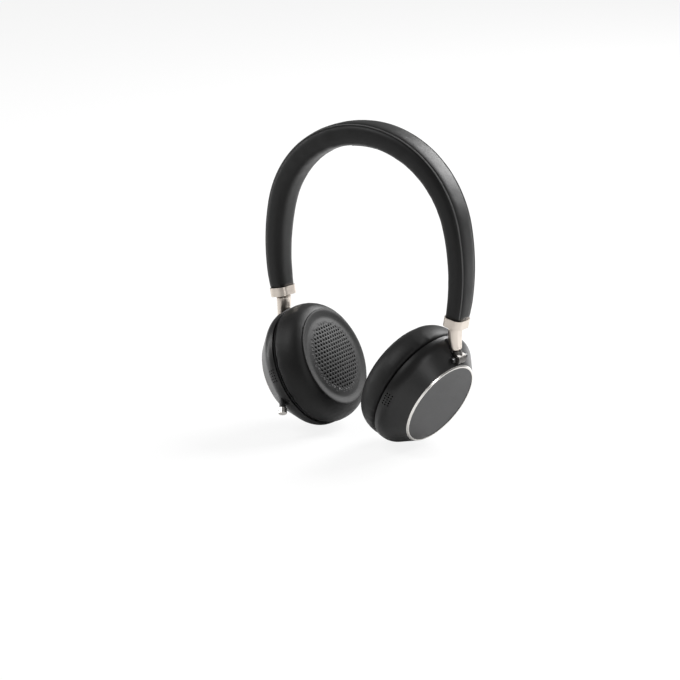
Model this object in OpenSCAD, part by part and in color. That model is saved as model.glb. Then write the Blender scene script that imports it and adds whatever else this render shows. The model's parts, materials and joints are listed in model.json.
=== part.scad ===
// Wireless office headset: a sprung padded headband, two sliding metal arms, two on-ear cups on
// two-axis knuckles, and a microphone boom that retracts into the right cup.
// Left and right are the wearer's. +Z is up and -Y is the wearer's front. The origin is on the
// underside of the headband's crown, where it rests on a head or a hook.

/* [Headband] */
// Radius of the crown, at the middle of the band
crown_r = 66; // [60:0.5:75]
// Half angle of the crown arc, in degrees
crown_a = 28; // [20:1:34]
// Radius of each shoulder
shoulder_r = 61; // [52:0.5:66]
// Angle at which a shoulder ends and a side begins
shoulder_a = 77.5; // [70:0.5:84]
// Radius of each side
side_r = 126; // [110:1:160]
// Angle at which the cover meets the collar
side_a = 101; // [97:0.5:103]
// Breadth of the band at the crown
band_w_top = 19.5; // [17:0.5:24]
// Breadth of the band at its ends
band_w_end = 14; // [12.5:0.5:16]
// Thickness of the band at the crown
band_t_top = 14; // [12:0.5:18]
// Thickness of the band at its ends
band_t_end = 11.2; // [10.4:0.2:13]
// Wall of the leatherette cover
cover_wall = 1.0; // [0.8:0.1:1.2]
// Breadth of the spring strip
spring_w = 7; // [5:0.5:8]
// Thickness of the spring strip
spring_t = 0.8; // [0.5:0.1:1.2]

/* [Arms] */
// Height of a collar
collar_h = 5.3; // [4:0.1:7]
// Breadth of a collar, front to back
collar_w = 14.8; // [13.5:0.1:16]
// Thickness of a collar
collar_t = 12; // [11:0.1:13]
// Breadth of the sliding tongue
tongue_w = 7; // [5:0.5:7]
// Thickness of the sliding tongue
tongue_t = 2.4; // [1.6:0.1:2.6]
// Travel of the slide
slide_travel = 22; // [15:1:24]
// Lean of the slide, in degrees
slide_lean = 3.5; // [2.5:0.1:4.5]
// Breadth of the arm at its shoulder
arm_w = 10.4; // [7.4:0.1:11]
// Thickness of the arm at its shoulder
arm_t = 6.8; // [4:0.1:7.2]
// Breadth of the arm at its lower end
arm_w_end = 6.6; // [6:0.1:8]
// Thickness of the arm at its lower end
arm_t_end = 5.2; // [4:0.1:5.6]
// Length of the arm's straight start
arm_straight = 3.3; // [2:0.1:6]
// Radius of the arm's bend
arm_bend_r = 37.4; // [30:0.2:50]
// Lean of the arm's lower end, in degrees
arm_end_lean = 14; // [8:0.5:18]
// Distance from the arm's end to the tilt pivot
knuckle_h = 4.6; // [4.2:0.1:6]
// Radius of the knuckle's barrel
barrel_r = 3.3; // [3:0.1:3.6]

/* [Cups] */
// Lean of a cup at rest, in degrees
cup_lean = 25.9; // [15:0.1:32]
// Turn of a cup towards the front at rest, in degrees
cup_turn = 4.7; // [0:0.1:8]
// Radius of a cup's housing
cup_r = 36.4; // [34:0.2:42]
// Height of the housing, from the seam to the outer plate
cup_h = 17; // [16:0.2:20]
// Outer radius of the bright ring
ring_r = 26.2; // [22:0.2:28]
// Wall of the housing
cup_wall = 1.6; // [1.2:0.1:2]
// Thickness of the ear cushion
cushion_t = 18.3; // [14:0.1:22]
// Outer radius of the ear cushion
cushion_r = 37; // [35:0.2:43]
// Inner radius of the ear cushion
cushion_hole_r = 24.4; // [22:0.2:26]
// Depth of the mesh below the crown of the cushion
mesh_depth = 0.6; // [0.4:0.1:6]
// Radius of the driver
driver_r = 17.5; // [14:0.5:20]

/* [Boom and buttons] */
// Radius of the boom's arc
boom_r = 110; // [90:1:140]
// Travel of the boom along its arc, in degrees
boom_travel = 15; // [10:0.5:15]
// Breadth of the boom
boom_w = 4.4; // [3.6:0.1:5]
// Thickness of the boom
boom_t = 2.6; // [2:0.1:3]
// Length of a press button
button_l = 7; // [5:0.5:8]
// Height of a press button
button_h = 2.6; // [2:0.1:3]
// Travel of a press button
button_travel = 0.5; // [0.3:0.1:0.6]

/* [Hidden] */
$fn = 96;

small = 0.01;       // overlap that joins solids of one piece
slide_gap = 0.12;   // clearance round the tongue
run_gap = 0.05;     // radial clearance of a pin in its bore
free_gap = 0.35;    // clearance between pieces that pass each other
seat_gap = 0.15;    // clearance between pieces laid together
tongue_hold = 16;   // tongue left in its guide when the arm is fully out
tongue_l = slide_travel + tongue_hold;
boom_hold = 11.2;   // boom left in the cup when it is fully out
boom_l = boom_travel * boom_r * PI / 180 + boom_hold;
button_proud = button_travel + 0.1;

// ---- headband path: three arcs a side, in the XZ plane; a is the angle from straight up ----
end_extent = band_t_top / 2;
centre_0 = [0, end_extent - crown_r];
centre_1 = centre_0 + (crown_r - shoulder_r) * [sin(crown_a), cos(crown_a)];
centre_2 = centre_1 + (shoulder_r - side_r) * [sin(shoulder_a), cos(shoulder_a)];
len_0 = crown_r * crown_a * PI / 180;
len_1 = len_0 + shoulder_r * (shoulder_a - crown_a) * PI / 180;
len_2 = len_1 + side_r * (side_a - shoulder_a) * PI / 180;
function arc_centre(a) = a <= crown_a ? centre_0 : a <= shoulder_a ? centre_1 : centre_2;
function arc_radius(a) = a <= crown_a ? crown_r : a <= shoulder_a ? shoulder_r : side_r;
function band_point(a) = arc_centre(a) + arc_radius(a) * [sin(a), cos(a)];
function run(a) = a <= crown_a ? crown_r * a * PI / 180
  : a <= shoulder_a ? len_0 + shoulder_r * (a - crown_a) * PI / 180
  : len_1 + side_r * (a - shoulder_a) * PI / 180;
function mix(from, to, s) = from + (to - from) * s;
function band_w(a) = mix(band_w_top, band_w_end, pow(run(a) / len_2, 2));
function band_t(a) = mix(band_t_top, band_t_end, pow(run(a) / len_2, 2));

// One point of the band's frame: out from the path, y to the rear, at a signed angle
function band_at(a, out, y) = let (side = a < 0 ? -1 : 1, b = abs(a), p = band_point(b))
  [side * (p.x + out * sin(b)), y, p.y + out * cos(b)];
// A ring of the band's section, drawn in by inset and cut off, with a slight crown, above top
section_power = 3.2;
section_sides = 20;
function pinch(v) = sign(v) * pow(abs(v), 2 / section_power);
function band_ring(a, inset, top = 100) = [for (i = [0:section_sides - 1])
  let (v = 360 * i / section_sides, b = abs(a))
  band_at(a, min(top - 0.3 * pow(sin(v), 2), pinch(cos(v)) * (band_t(b) / 2 - inset)),
    pinch(sin(v)) * (band_w(b) / 2 - inset))];
// A round ring for a wire that runs beside the path
function wire_ring(a, out, y, r) = [for (i = [0:7]) band_at(a, out + r * cos(45 * i), y + r * sin(45 * i))];
// A flat ring for a strip along the path
function flat_ring(a, out, w, t) = [for (c = [[1, 0], [0, 1], [-1, 0], [0, -1]])
  band_at(a, out + (c.x + c.y) * t / 2, (c.x - c.y) * -w / 2)];
function steps_between(from, to, n) = [for (i = [0:n]) mix(from, to, i / n)];
// Walls between rings of n points each, numbered from first; turned inside out where flip is true
function ring_walls(rings, n, first = 0, flip = false) = [for (k = [0:rings - 2], i = [0:n - 1])
  let (j = (i + 1) % n, a = first + k * n, b = a + n)
  flip ? [a + i, a + j, b + j, b + i] : [a + i, b + i, b + j, a + j]];
// A closed bar through a list of rings
module bar(rings) {
  n = len(rings[0]);
  last = (len(rings) - 1) * n;
  polyhedron([for (r = rings) each r], concat(ring_walls(len(rings), n),
    [[for (i = [0:n - 1]) i]], [[for (i = [n - 1:-1:0]) last + i]]), convexity = 8);
}
// A tube between two lists of rings
module tube(outer, inner) {
  n = len(outer[0]);
  m = len(outer);
  in = m * n;
  last = (m - 1) * n;
  polyhedron([for (r = concat(outer, inner)) each r], concat(
    ring_walls(m, n), ring_walls(m, n, in, true),
    [for (i = [0:n - 1]) let (j = (i + 1) % n) [i, j, in + j, in + i]],
    [for (i = [0:n - 1]) let (j = (i + 1) % n) [last + j, last + i, in + last + i, in + last + j]]),
    convexity = 8);
}

// An arc of a flat section about a centre of the path
module arc_piece(centre, r, from, to) {
  translate([centre.x, 0, centre.y]) rotate([90, 0, 0])
    rotate([0, 0, 90 - to]) rotate_extrude(angle = to - from, $fn = 180)
      translate([r, 0]) children();
}
module both() {
  children();
  mirror([1, 0, 0]) children();
}
module on_side(side) {
  if (side > 0) children();
  else mirror([1, 0, 0]) children();
}

// ---- places on the left side; the right side is their mirror ----
collar_top = band_point(side_a);
collar_end = collar_top + collar_h * [cos(side_a), -sin(side_a)];
slide_dir = [-sin(slide_lean), -cos(slide_lean)];
bend_start = collar_end + arm_straight * slide_dir;
bend_end = bend_start + arm_bend_r * [cos(slide_lean) - cos(arm_end_lean),
  -sin(arm_end_lean) - sin(slide_lean)];
pivot = bend_end + knuckle_h * [sin(arm_end_lean), -cos(arm_end_lean)];

// Frame of the collar: origin at its lower face, Z up along the band's end
module at_collar() {
  translate([collar_end.x, 0, collar_end.y]) rotate([0, side_a - 90, 0]) children();
}
// Frame of the slide: origin where the arm leaves the collar, Z up the slide, X outwards
module at_slide() {
  translate([collar_end.x, 0, collar_end.y]) rotate([0, slide_lean, 0]) children();
}
// Frame of the pivot: Z up the stem, X outwards, Y along the trunnions
module at_pivot() {
  translate([pivot.x, 0, pivot.y]) rotate([0, -arm_end_lean, 0]) children();
}

// Pivot in the cup's own frame: up the face, to the rear, and out from the seam
pivot_up = ring_r + 2.8;
pivot_back = 4.3;
pivot_out = cup_h - 4.1;
// Frame of the cup: origin on the seam, Z out along the cup, X up its face, Y to the front
module at_cup() {
  translate([pivot.x, 0, pivot.y]) rotate([0, 0, -cup_turn]) rotate([0, 90 + cup_lean, 0])
    rotate([0, 0, 180]) translate([-pivot_up, pivot_back, -pivot_out]) children();
}
// A place on a cup: phi is 0 at the bottom, 90 at the front, 180 at the top, 270 at the rear;
// X then points outwards from the cup's middle
module round_cup(phi, r, h) {
  rotate([0, 0, 180 - phi]) translate([r, 0, h]) children();
}

// ---- flat outlines ----
module stadium(w, t) {
  square([t, w - t], center = true);
  for (y = [-1, 1]) translate([0, y * (w - t) / 2]) circle(d = t, $fn = 48);
}
module round_box_2d(w, t, r) {
  square([t - 2 * r, w], center = true);
  square([t, w - 2 * r], center = true);
  for (x = [-1, 1], y = [-1, 1]) translate([x * (t / 2 - r), y * (w / 2 - r)]) circle(r = r, $fn = 48);
}

// ---- headband pieces ----
charge_half_a = 8;
charge_w = 9;
charge_t = 0.9;
contact_r = 1.8;
contact_a = 4;
charge_r = crown_r - band_t_top / 2;
cover_steps = 48;
module band_cover() {
  angles = steps_between(-side_a, side_a, cover_steps);
  color("#1f1f20") difference() {
    tube([for (a = angles) band_ring(a, 0)], [for (a = angles) band_ring(a, cover_wall)]);
    translate([0, 0, -1]) cube([2 * charge_r * sin(charge_half_a) + 2 * seat_gap,
      charge_w + 2 * seat_gap, 5], center = true);
  }
}
foam_a = 76;
spring_offset = 3.2;
cable_d = 1.4;
cable_y = spring_w / 2 + 1.3;
module band_foam() {
  color("#4a4a4c") bar([for (a = steps_between(-foam_a, foam_a, 40))
    band_ring(a, cover_wall + seat_gap, spring_offset - cable_d / 2 - 2 * seat_gap)]);
}
spring_a = 83;
rivet_r = 1.1;
rivet_a = [80, 81.9];
rivet_from = 0.4;
// Puts children at each rivet of the left side, with Z outwards through the strip
module rivet_places() {
  for (a = rivet_a) let (p = band_point(a)) translate([p.x, 0, p.y]) rotate([0, a - 90, 0])
    rotate([0, 90, 0]) children();
}
module rivet_holes() {
  rivet_places() cylinder(r = rivet_r + run_gap, h = 12, $fn = 32);
}
module spring_strip() {
  color("#8d9196") difference() {
    bar([for (a = steps_between(-spring_a, spring_a, 60)) flat_ring(a, spring_offset, spring_w, spring_t)]);
    both() rivet_holes();
  }
}
guide_wall = 0.75;
guide_w = tongue_w + 2 * slide_gap + 2 * guide_wall;
guide_t = tongue_t + 2 * slide_gap + 2 * guide_wall;
guide_start = 0.9;
guide_lap = 11;
seat_depth = 10;
// The space outside the strip's inner face, which the guide's end is cut back to
module strip_seat() {
  bar([for (a = steps_between(spring_a - 15, spring_a + 9, 8))
    flat_ring(a, spring_offset - spring_t / 2 - run_gap + seat_depth / 2, 2 * guide_w, seat_depth)]);
}
module slider_guide(side) {
  color("#2b2c2e") on_side(side) difference() {
    at_slide() difference() {
      translate([0, 0, collar_h + guide_start])
        linear_extrude(tongue_l - collar_h - guide_start + guide_lap) round_box_2d(guide_w, guide_t, 1);
      translate([0, 0, collar_h]) linear_extrude(tongue_l - collar_h + 1)
        stadium(tongue_w + 2 * slide_gap, tongue_t + 2 * slide_gap);
    }
    strip_seat();
    rivet_holes();
  }
}
rivet_head_r = 1.8;
rivet_head_t = 0.5;
rivet_seat = spring_offset + spring_t / 2 + run_gap;
module spring_rivets() {
  color("#b9bcc0") both() rivet_places() {
    translate([0, 0, rivet_from]) cylinder(r = rivet_r, h = rivet_seat - rivet_from, $fn = 32);
    translate([0, 0, rivet_seat - small]) cylinder(r = rivet_head_r, h = rivet_head_t, $fn = 32);
  }
}
module band_cable() {
  color("#c33a2c") bar([for (a = steps_between(-foam_a, foam_a, 56))
    wire_ring(a, spring_offset, cable_y, cable_d / 2)]);
}
module charge_plate() {
  color("#151515") difference() {
    arc_piece(centre_0, charge_r, -charge_half_a, charge_half_a)
      translate([0, -charge_w / 2]) square([charge_t, charge_w]);
    contact_holes(contact_r + run_gap);
  }
}
module contact_holes(r) {
  for (a = [-contact_a, contact_a]) translate([centre_0.x, 0, centre_0.y]) rotate([0, a, 0])
    translate([0, 0, charge_r - 1]) cylinder(r = r, h = charge_t + 2, $fn = 32);
}
module charge_contacts() {
  color("#d9b45a") for (a = [-contact_a, contact_a])
    translate([centre_0.x, 0, centre_0.y]) rotate([0, a, 0])
      translate([0, 0, charge_r + 0.15]) cylinder(r = contact_r, h = charge_t - 0.25, $fn = 32);
}
module collar(side) {
  color("#c9bfb2") on_side(side) difference() {
    at_collar() linear_extrude(collar_h - 0.02) round_box_2d(collar_w, collar_t, 4.2);
    at_slide() translate([0, 0, -2]) linear_extrude(collar_h + 6)
      stadium(tongue_w + 4 * slide_gap, tongue_t + 4 * slide_gap);
  }
}

// ---- arm pieces ----
stem_r = 1.4;
stem_end = -barrel_r + 1.3;
clip_r = 1.9;
clip_t = 0.7;
arm_drop = 0.8;     // from the collar to the arm's shoulder
arm_sides = 24;
arm_power = 2.5;
bend_centre = bend_start + arm_bend_r * [cos(slide_lean), -sin(slide_lean)];
bend_a = arm_end_lean + slide_lean;
arm_run = arm_straight - arm_drop + arm_bend_r * bend_a * PI / 180;
// A ring of the arm: its middle in the XZ plane, the turn of its section and its share of the way down
function arm_ring(middle, turn, share) = [for (i = [0:arm_sides - 1])
  let (v = -360 * i / arm_sides, w = mix(arm_w, arm_w_end, pow(share, 1.6)), t = mix(arm_t, arm_t_end, share),
    out = squeeze(cos(v)) * t / 2)
  [middle.x + out * cos(turn), squeeze(sin(v)) * w / 2, middle.y + out * sin(turn)]];
function squeeze(v) = sign(v) * pow(abs(v), 2 / arm_power);
shoe_l = 5;
shoe_wall = 1;
module arm(side) {
  color("#c9bfb2") on_side(side) {
    at_slide() translate([0, 0, -arm_straight / 2]) linear_extrude(tongue_l + arm_straight / 2 - shoe_l)
      stadium(tongue_w, tongue_t);
    at_slide() translate([0, 0, tongue_l - shoe_l - small]) linear_extrude(shoe_l)
      stadium(tongue_w - shoe_wall - 2 * run_gap, tongue_t - shoe_wall - 2 * run_gap);
    bar(concat(
      [for (d = [arm_drop, (arm_drop + arm_straight) / 2])
        arm_ring(collar_end + d * slide_dir, -slide_lean, (d - arm_drop) / arm_run)],
      [for (k = [0:16]) let (turn = -slide_lean + bend_a * k / 16)
        arm_ring(bend_centre - arm_bend_r * [cos(turn), sin(turn)], turn,
          1 - arm_bend_r * bend_a * PI / 180 * (1 - k / 16) / arm_run)]));
    at_pivot() translate([0, 0, stem_end]) cylinder(r = stem_r, h = knuckle_h - stem_end + 1, $fn = 48);
  }
}
module slide_shoe(side) {
  color("#e6e2d8") on_side(side) at_slide() translate([0, 0, tongue_l - shoe_l]) difference() {
    linear_extrude(shoe_l) stadium(tongue_w + slide_gap, tongue_t + slide_gap);
    translate([0, 0, -1]) linear_extrude(shoe_l + 2) stadium(tongue_w - shoe_wall, tongue_t - shoe_wall);
  }
}
module stem_clip(side) {
  color("#8d9196") on_side(side) at_pivot() translate([0, 0, stem_end - clip_t])
    cylinder(r = clip_r, h = clip_t, $fn = 48);
}

// ---- knuckle: turns on the stem and carries the cup on two trunnions ----
barrel_half = 3.7;
neck_r = 3;
trunnion_r = 1;
trunnion_l = 2.9;
module knuckle(side) {
  color("#b8aea2") on_side(side) at_pivot() difference() {
    union() {
      rotate([90, 0, 0]) cylinder(r = barrel_r, h = 2 * barrel_half, center = true);
      cylinder(r = neck_r, h = knuckle_h - 0.2);
      rotate([90, 0, 0]) cylinder(r = trunnion_r, h = 2 * (barrel_half + trunnion_l), center = true, $fn = 48);
    }
    translate([0, 0, -barrel_r - 1]) cylinder(r = stem_r + run_gap, h = knuckle_h + barrel_r + 2, $fn = 48);
    translate([0, 0, -barrel_r - 1]) cylinder(r = clip_r + run_gap, h = 1 + barrel_r + stem_end + run_gap, $fn = 48);
  }
}

// ---- cup pieces ----
plate_seat = 0.8;
fillet_r = 9;
cone_start = 5;
cone_a = atan2(cup_r - ring_r, cup_h - cone_start);
fillet_len = fillet_r * tan(cone_a / 2);
function cone_r(h) = ring_r + (cup_h - h) * tan(cone_a);
// Outline of the housing from the seam to the ring, drawn in by inset
function dome_outline(inset, top) = concat(
  [[0, 0], [cup_r - inset, 0]],
  [for (i = [0:8]) let (a = cone_a * i / 8)
    [cup_r - fillet_r + (fillet_r - inset) * cos(a),
     cone_start - fillet_len + (fillet_r - inset) * sin(a)]],
  [[cone_r(top) - inset / cos(cone_a), top], [0, top]]);
module dome_solid(inset, top) {
  rotate_extrude($fn = 128) polygon(dome_outline(inset, top));
}
seat_h = cup_h - plate_seat;
pocket_r = barrel_r + free_gap;
pocket_half = barrel_half + 0.3;
pocket_wall = 1.3;
ear_r = 1.7;
channel_half = (arm_w + arm_w_end) / 4 + 0.9;
channel_in = 3.7;
// Pocket and channel for the knuckle and the arm's end, grown by a wall, in the pivot frame
module arm_pocket(wall) {
  rotate([90, 0, 0]) cylinder(r = pocket_r + wall, h = 2 * (pocket_half + wall), center = true);
  translate([-channel_in - wall, -pocket_half - wall, 0]) cube([20, 2 * (pocket_half + wall), 4]);
  translate([-channel_in - wall, -channel_half - wall, 3 - wall]) cube([20, 2 * (channel_half + wall), 20]);
}
module ears(r) {
  for (s = [-1, 1]) translate([0, s * (pocket_half + 1.6), 0]) rotate([90, 0, 0])
    cylinder(r = r, h = 3.2, center = true, $fn = 48);
}
screw_phi = [20, 160, 235];
screw_at_r = 29;
screw_r = 1;
boss_r = 2.4;
baffle_t = 1.8;
button_at_h = 4;
vent_phi = 95;
vent_rows = 3;
vent_cols = 5;
vent_pitch = 1.7;
vent_r = 0.5;
vent_h = 3.8;
module vents() {
  for (i = [0:vent_cols - 1], k = [0:vent_rows - 1])
    round_cup(vent_phi + (i - (vent_cols - 1) / 2) * vent_pitch / cup_r * 180 / PI, cup_r - 5,
        vent_h + (k - (vent_rows - 1) / 2) * vent_pitch)
      rotate([0, 90, 0]) cylinder(r = vent_r, h = 10, $fn = 6);
}
module cup_shell() {
  difference() {
    union() {
      difference() {
        dome_solid(0, seat_h);
        translate([0, 0, -small]) dome_solid(cup_wall, seat_h - 1.4);
        translate([0, 0, 1]) cylinder(r = ring_r - 4, h = cup_h);
      }
      intersection() {
        dome_solid(0.02, seat_h - 0.02);
        union() {
          pivot_in_cup() arm_pocket(pocket_wall);
          for (phi = screw_phi) round_cup(phi, screw_at_r, baffle_t + seat_gap) cylinder(r = boss_r, h = cup_h, $fn = 48);
        }
      }
      pivot_in_cup() ears(ear_r);
    }
    pivot_in_cup() arm_pocket(0);
    pivot_in_cup() rotate([90, 0, 0])
      cylinder(r = trunnion_r + run_gap, h = 2 * (barrel_half + trunnion_l + 0.1), center = true, $fn = 48);
    for (phi = screw_phi) round_cup(phi, screw_at_r, 0) cylinder(r = screw_r + run_gap, h = 9, $fn = 32);
    vents();
  }
}
// Brings the pivot's frame into the cup's frame
module pivot_in_cup() {
  translate([pivot_up, -pivot_back, pivot_out]) rotate([0, 0, -180]) rotate([0, -90 - cup_lean, 0])
    rotate([0, 0, cup_turn]) rotate([0, -arm_end_lean, 0]) children();
}
module button_cut(phi) {
  round_cup(phi, cup_r - 6, button_at_h) rotate([0, 90, 0])
    linear_extrude(12) stadium(button_l + 2 * seat_gap, button_h + 2 * seat_gap);
}
power_phi = 258;
anc_phi = 284;
light_phi = 304;
volume_up_phi = 252;
call_phi = 270;
volume_down_phi = 288;
slide_nub = 3;
power_travel = 2.5;
usb_w = 8.9;
usb_t = 3.2;
usb_l = 7;
usb_phi = 338;
light_r = 0.9;
module left_housing() {
  color("#242425") at_cup() difference() {
    cup_shell();
    button_cut(anc_phi);
    round_cup(power_phi, cup_r - 6, button_at_h) rotate([0, 90, 0]) linear_extrude(12)
      stadium(slide_nub + power_travel + 2 * seat_gap, button_h + 2 * seat_gap);
    round_cup(light_phi, cup_r - 6, button_at_h) rotate([0, 90, 0]) cylinder(r = light_r + run_gap, h = 12, $fn = 32);
    round_cup(usb_phi, cup_r - 6, button_at_h) rotate([0, 90, 0]) linear_extrude(12)
      stadium(usb_w + 2 * seat_gap, usb_t + 2 * seat_gap);
  }
}
module right_housing() {
  color("#242425") on_side(-1) at_cup() difference() {
    cup_shell();
    for (phi = [volume_up_phi, call_phi, volume_down_phi]) button_cut(phi);
    boom_sweep(boom_turn - 12, boom_turn + 6, boom_w + 4 * seat_gap, boom_t + 4 * seat_gap);
  }
}
ring_w = 0.8;
module plate_ring(side) {
  color("#e4e1dc") on_side(side) at_cup() rotate_extrude($fn = 128)
    polygon([[ring_r - ring_w, seat_h + 0.02], [cone_r(seat_h), seat_h + 0.02], [ring_r, cup_h],
      [ring_r - ring_w, cup_h]]);
}
plate_sunk = 0.25;
module outer_plate(side) {
  color("#58585a") on_side(side) at_cup() translate([0, 0, seat_h + 0.02])
    cylinder(r = ring_r - ring_w - 0.05, h = plate_seat - plate_sunk);
}
module baffle(side) {
  color("#303032") on_side(side) at_cup() difference() {
    cylinder(r = cup_r - cup_wall - seat_gap, h = baffle_t);
    translate([0, 0, -1]) cylinder(r = driver_r + seat_gap, h = 4);
    for (phi = screw_phi) round_cup(phi, screw_at_r, -1) {
      cylinder(r = screw_r + run_gap, h = 4, $fn = 32);
      cylinder(r = 2 * screw_r + run_gap, h = 2, $fn = 32);
    }
  }
}
groove = 0.6;
module cushion_ring(side) {
  color("#101010") on_side(side) at_cup() translate([0, 0, -groove]) difference() {
    cylinder(r = cup_r - 1.4, h = groove - 0.02);
    translate([0, 0, -1]) cylinder(r = driver_r + 1, h = 4);
  }
}
crown_edge_r = 10.5;
lip_r = 2.2;
module cushion(side) {
  round_at = cushion_r - crown_edge_r;
  color("#1b1b1c") on_side(side) at_cup() mirror([0, 0, 1]) translate([0, 0, groove + 0.02])
    rotate_extrude($fn = 128) {
      translate([round_at - small, 0]) square([crown_edge_r + small, cushion_t - groove - crown_edge_r]);
      intersection() {
        translate([round_at, cushion_t - groove - crown_edge_r]) circle(r = crown_edge_r);
        translate([round_at - small, 0]) square([cushion_r, cushion_t]);
      }
      translate([cushion_hole_r, 0]) square([round_at - cushion_hole_r + small, cushion_t - groove - lip_r]);
      translate([cushion_hole_r + lip_r, cushion_t - groove - lip_r]) circle(r = lip_r);
    }
}
mesh_t = 0.8;
mesh_r = cushion_hole_r - 0.3;
module foam_disc(side) {
  color("#3a3a3a") on_side(side) at_cup() translate([0, 0, -cushion_t + mesh_depth + mesh_t + 0.02])
    cylinder(r = mesh_r - 0.1, h = cushion_t - mesh_depth - mesh_t - groove - 0.04);
}
module mesh(side) {
  color("#2a2a2b") on_side(side) at_cup() translate([0, 0, -cushion_t + mesh_depth])
    cylinder(r = mesh_r, h = mesh_t);
}
magnet_r = 9;
basket_h = 4;
magnet_h = 3;
module driver_frame(side) {
  color("#6d6f72") on_side(side) at_cup() difference() {
    union() {
      cylinder(r = driver_r, h = basket_h);
      cylinder(r = magnet_r, h = basket_h + magnet_h);
    }
    translate([0, 0, -1]) cylinder(r = driver_r - 1.2, h = 2.6);
  }
}
module diaphragm(side) {
  color("#c8b98a") on_side(side) at_cup() translate([0, 0, 0.3]) {
    cylinder(r = driver_r - 1.3, h = 0.3);
    cylinder(r = magnet_r - 2, h = 1);
  }
}
board_r = 22;
board_h = 9.4;
board_t = 1;
post_phi = [50, 310];
module circuit_board(side) {
  color("#1d5c3a") on_side(side) at_cup() {
    translate([0, 0, board_h]) difference() {
      cylinder(r = board_r, h = board_t);
      translate([board_r - 3, -20, -1]) cube([10, 40, 4]);
    }
    for (phi = post_phi) round_cup(phi, board_r - 1.8, baffle_t + 0.05)
      cylinder(r = 1.2, h = board_h - baffle_t, $fn = 32);
  }
}
module noise_mic(side) {
  color("#9fa3a8") on_side(side) at_cup() round_cup(vent_phi, cup_r - 5.6, vent_h)
    rotate([0, 90, 0]) cylinder(r = 1.8, h = 2.6, $fn = 48);
}
module cup_screws(side) {
  color("#77797c") on_side(side) at_cup() for (phi = screw_phi) round_cup(phi, screw_at_r, 0.15) {
    cylinder(r = 2 * screw_r, h = 0.8, $fn = 32);
    cylinder(r = screw_r, h = 8, $fn = 32);
  }
}
battery_size = [30, 22, 3.8];
module battery() {
  color("#3c6fa8") at_cup() translate([-battery_size.x / 2 - 1, -battery_size.y / 2, board_h + board_t + 0.02])
    cube(battery_size);
}
module usb_socket() {
  color("#a9adb2") at_cup() round_cup(usb_phi, cup_r - usb_l - 0.4, button_at_h) rotate([0, 90, 0]) difference() {
    linear_extrude(usb_l) stadium(usb_w, usb_t);
    translate([0, 0, 1]) linear_extrude(usb_l) stadium(usb_w - 0.6, usb_t - 0.6);
  }
}
module status_light() {
  color("#dfe9ee") at_cup() round_cup(light_phi, cup_r - 4.4, button_at_h) rotate([0, 90, 0])
    cylinder(r = light_r, h = 4.3, $fn = 32);
}

// ---- boom: an arc about a centre in front of the cup ----
boom_exit_phi = 66.5;
boom_exit_r = cup_r + 0.6;
boom_lean = 32;
boom_at_h = 6.5;
boom_turn = -90 - boom_lean;
boom_exit = boom_exit_r * [-cos(boom_exit_phi), sin(boom_exit_phi)];
boom_centre = boom_exit + boom_r * [sin(boom_lean), cos(boom_lean)];
boom_deg = 180 / PI / boom_r;
module boom_sweep(from, to, w, t) {
  translate([boom_centre.x, boom_centre.y, boom_at_h]) rotate([0, 0, from])
    rotate_extrude(angle = to - from, $fn = 360) translate([boom_r, 0]) rotate([0, 0, 90]) stadium(w, t);
}
module boom_guide() {
  from = boom_turn + 4 * boom_deg;
  to = boom_turn + (boom_l - 4) * boom_deg;
  color("#2b2c2e") on_side(-1) at_cup() difference() {
    intersection() {
      boom_sweep(from, to, boom_w + 2.2, boom_t + 2);
      dome_solid(cup_wall + seat_gap, board_h - 0.1);
    }
    boom_sweep(from - 1, to + 1, boom_w + 2 * slide_gap, boom_t + 2 * slide_gap);
  }
}
neck_out = 2.2;
module boom_arm() {
  color("#222223") on_side(-1) at_cup() boom_sweep(boom_turn - neck_out * boom_deg,
    boom_turn + boom_l * boom_deg, boom_w, boom_t);
}
tip_r = 2.5;
tip_l = 3.2;
module boom_tip() {
  color("#d2cdc6") on_side(-1) at_cup() translate([boom_centre.x, boom_centre.y, boom_at_h])
    rotate([0, 0, boom_turn - neck_out * boom_deg]) translate([boom_r, 0, 0]) rotate([90, 0, 0])
      cylinder(r = tip_r, h = tip_l, $fn = 48);
}

// ---- buttons: a stadium plunger through the wall with a flange inside ----
flange_t = 0.8;
flange_r = cup_r - cup_wall - 2;
module press_button(phi, tone) {
  color(tone) at_cup() round_cup(phi, flange_r - flange_t, button_at_h) rotate([0, 90, 0]) {
    linear_extrude(flange_t) stadium(button_l + 1.6, button_h + 1.2);
    linear_extrude(cup_r + button_proud - flange_r + flange_t) stadium(button_l, button_h);
  }
}
module power_slide() {
  color("#2c2c2e") at_cup() round_cup(power_phi, flange_r - flange_t, button_at_h) rotate([0, 90, 0])
    translate([0, -power_travel / 2, 0]) {
      linear_extrude(flange_t) stadium(slide_nub + 4, button_h + 1.2);
      linear_extrude(cup_r + button_proud - flange_r + flange_t) stadium(slide_nub, button_h);
    }
}

band_cover();
band_foam();
spring_strip();
spring_rivets();
band_cable();
charge_plate();
charge_contacts();
slider_guide(1);  // left_slider_guide
slider_guide(-1);  // right_slider_guide
collar(1);  // left_collar
collar(-1);  // right_collar
arm(1);  // left_arm
arm(-1);  // right_arm
slide_shoe(1);  // left_slide_shoe
slide_shoe(-1);  // right_slide_shoe
stem_clip(1);  // left_stem_clip
stem_clip(-1);  // right_stem_clip
knuckle(1);  // left_knuckle
knuckle(-1);  // right_knuckle
left_housing();
right_housing();
plate_ring(1);  // left_plate_ring
plate_ring(-1);  // right_plate_ring
outer_plate(1);  // left_outer_plate
outer_plate(-1);  // right_outer_plate
baffle(1);  // left_baffle
baffle(-1);  // right_baffle
cushion_ring(1);  // left_cushion_ring
cushion_ring(-1);  // right_cushion_ring
cushion(1);  // left_cushion
cushion(-1);  // right_cushion
foam_disc(1);  // left_foam_disc
foam_disc(-1);  // right_foam_disc
mesh(1);  // left_mesh
mesh(-1);  // right_mesh
driver_frame(1);  // left_driver_frame
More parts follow.
